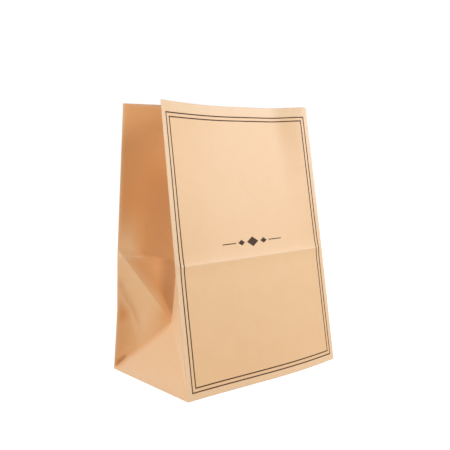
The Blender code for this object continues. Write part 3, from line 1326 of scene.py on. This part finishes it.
@dataclass(frozen=True)
class KraftPaper:
    """Uncoated brown kraft paper, with long and short fibres and specks, paler where scuffed at its
    folds, with painted light on some margins and strips and painted shade inside the folds of the
    sides.

    A grain is a noise's scale, detail and roughness. A ramp has the two values that it runs
    between and what it gives at each. A fibre run has its turn, its scale across and along it,
    and its share.
    """

    colour: Colour = (0.85, 0.528, 0.272)
    deep: Colour = (0.77, 0.450, 0.215)
    pale: Colour = (0.87, 0.557, 0.300)
    # The next two colours are multiplied in as painted shade inside the folds of the sides.
    fold_shade: Colour = (0.905, 0.68, 0.455)
    deepest_shade: Colour = (0.68, 0.60, 0.44)
    speck: Colour = (0.36, 0.19, 0.09)
    # The pale colour of scuffed folds and of painted light.
    worn_and_lit: Colour = (0.90, 0.70, 0.50)
    ink: Colour = (0.055, 0.022, 0.014)
    roughness_ramp: Ramp = (0.35, 0.65, 0.50, 0.38)
    specular: float = 0.45
    grain: float = 0.00005
    grain_strength: float = 0.5
    cloud_grain: Grain = (190.0, 3.0, 0.55)
    cloud_ramp: Ramp = (0.30, 0.70, 0.0, 0.35)
    cloud_felt: float = 0.6
    broad_grain: Grain = (38.0, 2.0, 0.55)
    broad_ramp: Ramp = (0.32, 0.68, -0.15, 0.50)
    dark_ramp: Ramp = (0.40, 0.60, 0.40, 0.0)
    some_ramp: Ramp = (0.0, 0.6, 0.0, 1.0)
    more_ramp: Ramp = (0.6, 1.0, 0.0, 1.0)
    pale_grain: Grain = (420.0, 4.0, 0.7)
    pale_ramp: Ramp = (0.35, 0.62, 0.25, 1.0)
    pale_strength: float = 0.7
    cut_edge_wear: float = 0.6
    ink_grain: Grain = (2600.0, 3.0, 0.5)
    ink_ramp: Ramp = (0.28, 0.52, 0.88, 1.0)
    ink_roughness: float = 0.15
    ink_gloss: float = 0.3
    fibre_grain: Grain = (1.0, 2.0, 0.6)
    fibre_runs: tuple[Ramp, ...] = (
        (4.0, 3800.0, 520.0, 0.45),
        (38.0, 3000.0, 620.0, 0.3),
        (-52.0, 3200.0, 700.0, 0.25),
    )
    speck_turn: float = 20.0
    speck_cells: Point = (330.0, 210.0)
    speck_size: Ramp = (0.72, 1.0, 0.0, 0.13)
    speck_edge: Ramp = (0.0, 0.05, 0.0, 0.45)

    def build(
        self, face: PaperFace, bag: BagSheet, panel_print: PanelPrint
    ) -> bpy.types.Material:
        """Make the finish of one face of the sheet.

        Args:
            face: Which face it is for.
            bag: The bag that wears it, for the names of its UV map and its attributes.
            panel_print: The ink, which only the outside has.

        Returns:
            The material.
        """
        finish = Finish(bpy.data.materials.new(f"kraft_{face.name.lower()}"))
        place = finish.add("ShaderNodeUVMap", {}, uv_map=bag.uv_name).outputs[0]
        fibres = self.fibres(finish, place)
        clouds = finish.noise(place, *self.cloud_grain)
        broad = finish.ramp(finish.noise(place, *self.broad_grain), *self.broad_ramp)
        tone = finish.math("ADD", finish.ramp(clouds, *self.cloud_ramp), broad)
        colour = finish.mix(tone, (*self.colour, 1.0), self.pale)
        colour = finish.mix(finish.ramp(fibres, *self.dark_ramp), colour, self.deep)
        # Painted shade: inside the fold of each side the paper is painted darker and more orange,
        # where shade falls.
        shade_share = finish.attribute(bag.shade_name)
        for ramp, shaded in ((self.some_ramp, self.fold_shade), (self.more_ramp, self.deepest_shade)):
            colour = finish.mix(finish.ramp(shade_share, *ramp), colour, shaded, "MULTIPLY")
        colour = finish.mix(self.specks(finish, place), colour, self.speck)
        # Paler where scuffed at folds, creases and rim, and painted light on the front's margins,
        # the front half of each side and its foot.
        patchy_pale = finish.ramp(finish.noise(place, *self.pale_grain), *self.pale_ramp)
        amount = finish.math("MULTIPLY", finish.attribute(bag.light_and_wear_name), patchy_pale)
        if face is PaperFace.CUT_EDGE:
            amount = finish.math("MAXIMUM", amount, self.cut_edge_wear)
        amount = finish.math("MULTIPLY", amount, self.pale_strength)
        colour = finish.mix(amount, colour, self.worn_and_lit)
        rough = finish.ramp(fibres, *self.roughness_ramp)
        specular = self.specular
        if face is PaperFace.OUTSIDE:
            parts = finish.add("ShaderNodeSeparateXYZ", {0: place})
            ink = panel_print.ink(finish, parts.outputs[0], parts.outputs[1])
            taken = finish.ramp(finish.noise(place, *self.ink_grain), *self.ink_ramp)
            ink = finish.math("MULTIPLY", ink, taken)
            colour = finish.mix(ink, colour, self.ink)
            rough = finish.math("ADD", rough, finish.math("MULTIPLY", ink, self.ink_roughness))
            specular = finish.ramp(ink, 0.0, 1.0, self.specular, self.ink_gloss * self.specular)
        felt = finish.math("ADD", fibres, finish.math("MULTIPLY", clouds, self.cloud_felt))
        relief = {"Strength": self.grain_strength, "Distance": self.grain, "Height": felt}
        surface = {
            "Specular IOR Level": specular,
            "Base Color": colour,
            "Roughness": rough,
            "Normal": finish.add("ShaderNodeBump", relief).outputs[0],
        }
        finish.fill(finish.node("Principled BSDF"), surface)
        return finish.owner

    def fibres(self, finish: Finish, place: Socket) -> Socket:
        """The felt of the sheet: fibres mostly along the tube, and crossing ones either way.

        Args:
            finish: The material to add nodes to.
            place: Coordinates on the flat sheet.

        Returns:
            A value about 0.5.
        """
        total = None
        for turn, across, along, share in self.fibre_runs:
            at = finish.stretched(place, turn, (across, along))
            value = finish.math("MULTIPLY", finish.noise(at, *self.fibre_grain), share)
            total = value if total is None else finish.math("ADD", total, value)
        return total

    def specks(self, finish: Finish, place: Socket) -> Socket:
        """Small dark bits of bark, a few to the square centimetre.

        Args:
            finish: The material to add nodes to.
            place: Coordinates on the flat sheet.

        Returns:
            The share of the speck's colour.
        """
        at = finish.stretched(place, self.speck_turn, self.speck_cells)
        cells = finish.add("ShaderNodeTexVoronoi", {"Vector": at, "Scale": 1.0})
        chance = finish.add("ShaderNodeSeparateColor", {0: cells.outputs["Color"]})
        size = finish.ramp(chance.outputs[0], *self.speck_size)
        inside = finish.math("SUBTRACT", size, cells.outputs["Distance"])
        return finish.ramp(inside, *self.speck_edge)


@dataclass(frozen=True)
class SoftLamp:
    """A square soft lamp that faces the middle of the bag. Its power is in watts."""

    name: str
    place: Place
    size: float
    power: float
    colour: Colour = (1.0, 1.0, 1.0)
    target: Place = (0.0, 0.0, 0.14)

    def build(self) -> bpy.types.Object:
        """Hang the lamp.

        Returns:
            The lamp's object.
        """
        data = bpy.data.lights.new(self.name, "AREA")
        data.shape = "SQUARE"
        data.size = self.size
        data.energy = self.power
        data.color = self.colour
        lamp = new_object(self.name, data)
        way = Vector(self.target) - Vector(self.place)
        turn = way.to_track_quat("-Z", "Y").to_matrix().to_4x4()
        lamp.matrix_world = Matrix.Translation(self.place) @ turn
        return lamp


@dataclass(frozen=True)
class Studio:
    """The pale floor, the white surround and soft lamps."""

    floor_size: float = 12.0
    ambient: float = 0.36
    white: float = 1.0
    card: float = 0.86
    shadow: float = 0.30
    glow: float = 0.90
    lamps: tuple[SoftLamp, ...] = (
        SoftLamp("key", (1.34, -1.48, 1.05), 1.0, 31.0, (0.88, 0.94, 1.0)),
        SoftLamp("side", (-1.9, 0.55, 0.70), 1.2, 7.0),
        SoftLamp("rear", (-1.2, 1.5, 1.1), 1.2, 10.5),
        SoftLamp("left", (-2.0, -0.6, 0.35), 1.2, 8.2, (1.0, 0.86, 0.72)),
    )

    def grey(self, level: float) -> tuple[float, ...]:
        """A grey with its alpha."""
        return (level, level, level, 1.0)

    def show(
        self, finish: Finish, output: str, lit: bpy.types.Node, seen: bpy.types.Node
    ) -> None:
        """Light the bag by one shader, and show another to the eye, in a gloss and in a glass.

        Args:
            finish: The node tree.
            output: The name of its output node.
            lit: The shader whose light falls on the bag.
            seen: The shader that is seen.
        """
        path = finish.add("ShaderNodeLightPath", {})
        share = path.outputs["Is Camera Ray"]
        for name in ("Is Glossy Ray", "Is Transmission Ray"):
            share = finish.math("MAXIMUM", share, path.outputs[name])
        shaders = {0: share, 1: lit.outputs[0], 2: seen.outputs[0]}
        mixed = finish.add("ShaderNodeMixShader", shaders).outputs[0]
        finish.fill(finish.node(output), {"Surface": mixed})

    def build_world(self) -> None:
        """White to the eye, and an even weaker light on the bag."""
        finish = Finish(bpy.data.worlds.new("surround"))
        bpy.context.scene.world = finish.owner
        white = {"Color": self.grey(self.white), "Strength": 1.0}
        seen = finish.add("ShaderNodeBackground", white)
        lit = finish.fill(finish.node("Background"), {**white, "Strength": self.ambient})
        self.show(finish, "World Output", lit, seen)

    def build_floor(self) -> bpy.types.Object:
        """Lay the floor. It bounces light as white card does, and to the eye it is white with the
        bag's faint shadow.

        Returns:
            The floor's object.
        """
        grid = bmesh.new()
        bmesh.ops.create_grid(grid, x_segments=1, y_segments=1, size=self.floor_size / 2)
        data = bpy.data.meshes.new("floor")
        grid.to_mesh(data)
        grid.free()
        floor = new_object("floor", data)
        finish = Finish(bpy.data.materials.new("floor_white"))
        data.materials.append(finish.owner)
        card = {"Base Color": self.grey(self.card), "Roughness": 1.0, "Specular IOR Level": 0.0}
        lit = finish.fill(finish.node("Principled BSDF"), card)
        shade = finish.add("ShaderNodeBsdfDiffuse", {"Color": self.grey(self.shadow)})
        white = {"Color": self.grey(self.white), "Strength": self.glow}
        glow = finish.add("ShaderNodeEmission", white)
        seen = finish.add("ShaderNodeAddShader", {0: shade.outputs[0], 1: glow.outputs[0]})
        self.show(finish, "Material Output", lit, seen)
        return floor

    def build(self) -> None:
        """Make the floor, the surround and the lamps."""
        self.build_world()
        self.build_floor()
        for lamp in self.lamps:
            lamp.build()


@dataclass(frozen=True)
class PhotoCamera:
    """The camera, where the photograph was taken from."""

    place: Place = (-0.5160, -0.6131, 0.2585)
    yaw: float = 40.08
    pitch: float = 6.61
    roll: float = -0.006
    focal_pixels: float = 695.9
    image_pixels: float = 450.0
    sensor: float = 36.0

    def build(self) -> bpy.types.Object:
        """Make the camera and look through it.

        Returns:
            The camera's object.
        """
        data = bpy.data.cameras.new("camera")
        data.sensor_fit = "HORIZONTAL"
        data.sensor_width = self.sensor
        data.lens = self.focal_pixels * self.sensor / self.image_pixels
        camera = new_object("camera", data)
        yaw, pitch = radians(self.yaw), radians(self.pitch)
        level = Vector((sin(yaw), cos(yaw), 0.0))
        level_right = Vector((cos(yaw), -sin(yaw), 0.0))
        zenith = Vector((0.0, 0.0, 1.0))
        ahead = level * cos(pitch) - zenith * sin(pitch)
        above = zenith * cos(pitch) + level * sin(pitch)
        right = level_right * cos(self.roll) + above * sin(self.roll)
        upward = above * cos(self.roll) - level_right * sin(self.roll)
        turn = Matrix((right, upward, -ahead)).transposed().to_4x4()
        camera.matrix_world = Matrix.Translation(self.place) @ turn
        bpy.context.scene.camera = camera
        return camera


def note_sizes() -> None:
    """Update the view layer."""
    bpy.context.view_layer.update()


def main() -> None:
    """Build the bag, the studio and the camera, in that order."""
    logging.basicConfig(level=logging.INFO, format="%(name)s: %(message)s")
    sheet = SheetSize()
    forms = (FoldedShape(sheet), PaperRelief(sheet), PaperWearAndLight(sheet), FoldShade(sheet))
    bag = BagSheet(sheet, *forms)
    panel_print = PanelPrint(sheet)
    kraft = KraftPaper()
    finishes = {face: kraft.build(face, bag, panel_print) for face in PaperFace}
    piece = bag.build(finishes)
    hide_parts("paper_bag")
    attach(piece, "root")
    log.info("%s: %d faces on its inner side", piece.name, len(piece.data.polygons))
    Studio().build()
    PhotoCamera().build()
    bpy.context.scene.view_settings.view_transform = "Standard"
    note_sizes()


if __name__ == "__main__":
    main()
